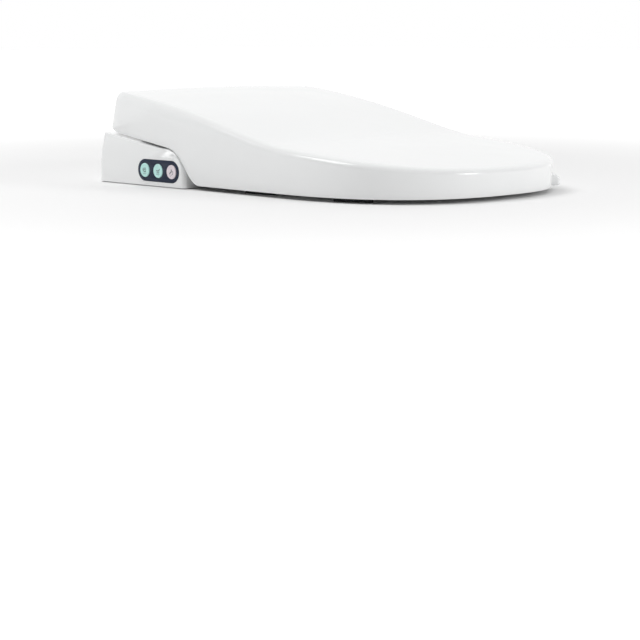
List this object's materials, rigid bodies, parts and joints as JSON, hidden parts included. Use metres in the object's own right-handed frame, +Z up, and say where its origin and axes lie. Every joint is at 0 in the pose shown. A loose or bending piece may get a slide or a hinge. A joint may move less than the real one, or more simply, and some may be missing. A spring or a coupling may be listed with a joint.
{
  "type": "electric bidet seat",
  "caption": "Heated seat for a toilet pan: hinged lid and seat ring over a base unit with side buttons, wash nozzle, water heater, dryer and deodoriser.",
  "frame": {"origin": "midway between the two fixing slots, on the underside that rests on the pan rim", "axes": "+Z up, the front of the seat faces -Y, the control buttons are on the -X side"},
  "size_m": [0.365, 0.541, 0.1189],
  "materials": {
    "white_shell": "polished moulding",
    "inner_plastic": "moulded, satin",
    "wand_plastic": "polished moulding",
    "head_plastic": "polished moulding",
    "bezel": "gloss, dark navy",
    "button_mint": "satin gloss",
    "button_pink": "satin gloss",
    "black_rubber": "moulded",
    "dark_plastic": "moulded",
    "circuit_board": "solder mask",
    "steel": "zinc plated",
    "foil": "foil",
    "brass_fitting": "turned",
    "element": "oxidised sheath",
    "hose": "silicone",
    "release_grey": "moulded",
    "window": "dark red, clear"
  },
  "bodies": {
    "base": {"base_tray": "inner_plastic", "base_cover": "white_shell", "base_pads": "black_rubber", "cover_screws": "steel", "control_bezel": "bezel", "button_switches": "dark_plastic", "control_board": "circuit_board", "hinge_pins": "steel", "lid_damper": "steel", "seat_damper": "steel", "nozzle_guide": "inner_plastic", "nozzle_motor": "steel", "inlet_fitting": "brass_fitting", "inlet_filter": "inner_plastic", "solenoid_valve": "inner_plastic", "flow_sensor": "dark_plastic", "heater_tank": "inner_plastic", "heater_element": "element", "float_switch": "inner_plastic", "diverter_valve": "inner_plastic", "water_hoses": "hose", "dryer_housing": "inner_plastic", "dryer_motor": "steel", "dryer_heater": "element", "deodoriser_housing": "inner_plastic", "power_board": "circuit_board", "transformer": "dark_plastic", "main_board": "circuit_board", "cord_gland": "dark_plastic", "remote_window": "window"},
    "plate": {"mounting_plate": "steel"},
    "seat": {"seat_top_shell": "white_shell", "seat_bottom_shell": "white_shell", "seat_heater": "foil", "seat_hinge_arms": "white_shell", "seat_bumpers": "black_rubber", "seat_screws": "steel", "occupancy_sensor": "circuit_board"},
    "lid": {"lid_shell": "white_shell", "lid_hinge_arms": "inner_plastic", "lid_bumpers": "black_rubber"},
    "rear_wash_button": {"button_rear_wash": "button_mint"},
    "front_wash_button": {"button_front_wash": "button_mint"},
    "stop_button": {"button_stop": "button_pink"},
    "wand": {"nozzle_wand": "wand_plastic", "nozzle_head": "head_plastic", "nozzle_shutter": "white_shell"},
    "pinion": {"nozzle_pinion": "inner_plastic"},
    "impeller": {"dryer_impeller": "dark_plastic"},
    "flap": {"dryer_flap": "white_shell"},
    "deodoriser_rotor": {"deodoriser_fan": "dark_plastic"},
    "filter": {"deodoriser_filter": "dark_plastic"},
    "release": {"release_button": "release_grey"}
  },
  "joints": [
    {"name": "seat_hinge", "type": "hinge", "parent": "base", "child": "seat", "pos_m": [0, 0.053, 0.088], "axis": [-1, 0, 0], "range_deg": [0, 100]},
    {"name": "lid_hinge", "type": "hinge", "parent": "seat", "child": "lid", "pos_m": [0, 0.053, 0.088], "axis": [1, 0, 0], "range_deg": [-105, 0]},
    {"name": "rear_wash_press", "type": "slide", "parent": "base", "child": "rear_wash_button", "axis": [1, 0, 0], "range_m": [0, 0.0012], "stiffness_N_per_m": 300},
    {"name": "front_wash_press", "type": "slide", "parent": "base", "child": "front_wash_button", "axis": [1, 0, 0], "range_m": [0, 0.0012], "stiffness_N_per_m": 300},
    {"name": "stop_press", "type": "slide", "parent": "base", "child": "stop_button", "axis": [1, 0, 0], "range_m": [0, 0.0012], "stiffness_N_per_m": 300},
    {"name": "wand_slide", "type": "slide", "parent": "base", "child": "wand", "axis": [0, -0.9205, -0.3907], "range_m": [0, 0.08]},
    {"name": "pinion_spin", "type": "hinge", "parent": "base", "child": "pinion", "pos_m": [0, -0.0623, 0.05542], "axis": [-1, 0, 0], "range_deg": [0, 637]},
    {"name": "impeller_spin", "type": "hinge", "parent": "base", "child": "impeller", "pos_m": [0.07, -0.003, 0.044], "axis": [1, 0, 0], "continuous": true},
    {"name": "flap_swing", "type": "hinge", "parent": "base", "child": "flap", "pos_m": [0.077, -0.0926, 0.027], "axis": [-1, 0, 0], "range_deg": [0, 70]},
    {"name": "deodoriser_spin", "type": "hinge", "parent": "base", "child": "deodoriser_rotor", "pos_m": [0.12, -0.03, 0.023], "axis": [1, 0, 0], "continuous": true},
    {"name": "filter_slide", "type": "slide", "parent": "base", "child": "filter", "axis": [1, 0, 0], "range_m": [0, 0.034]},
    {"name": "release_press", "type": "slide", "parent": "base", "child": "release", "axis": [-1, 0, 0], "range_m": [0, 0.004], "stiffness_N_per_m": 400},
    {"name": "plate_slide", "type": "slide", "parent": "base", "child": "plate", "axis": [0, 1, 0], "range_m": [0, 0.03]}
  ],
  "couplings": [
    {"joint": "pinion_spin", "follows": "wand_slide", "rad_per_m": 138.89}
  ]
}
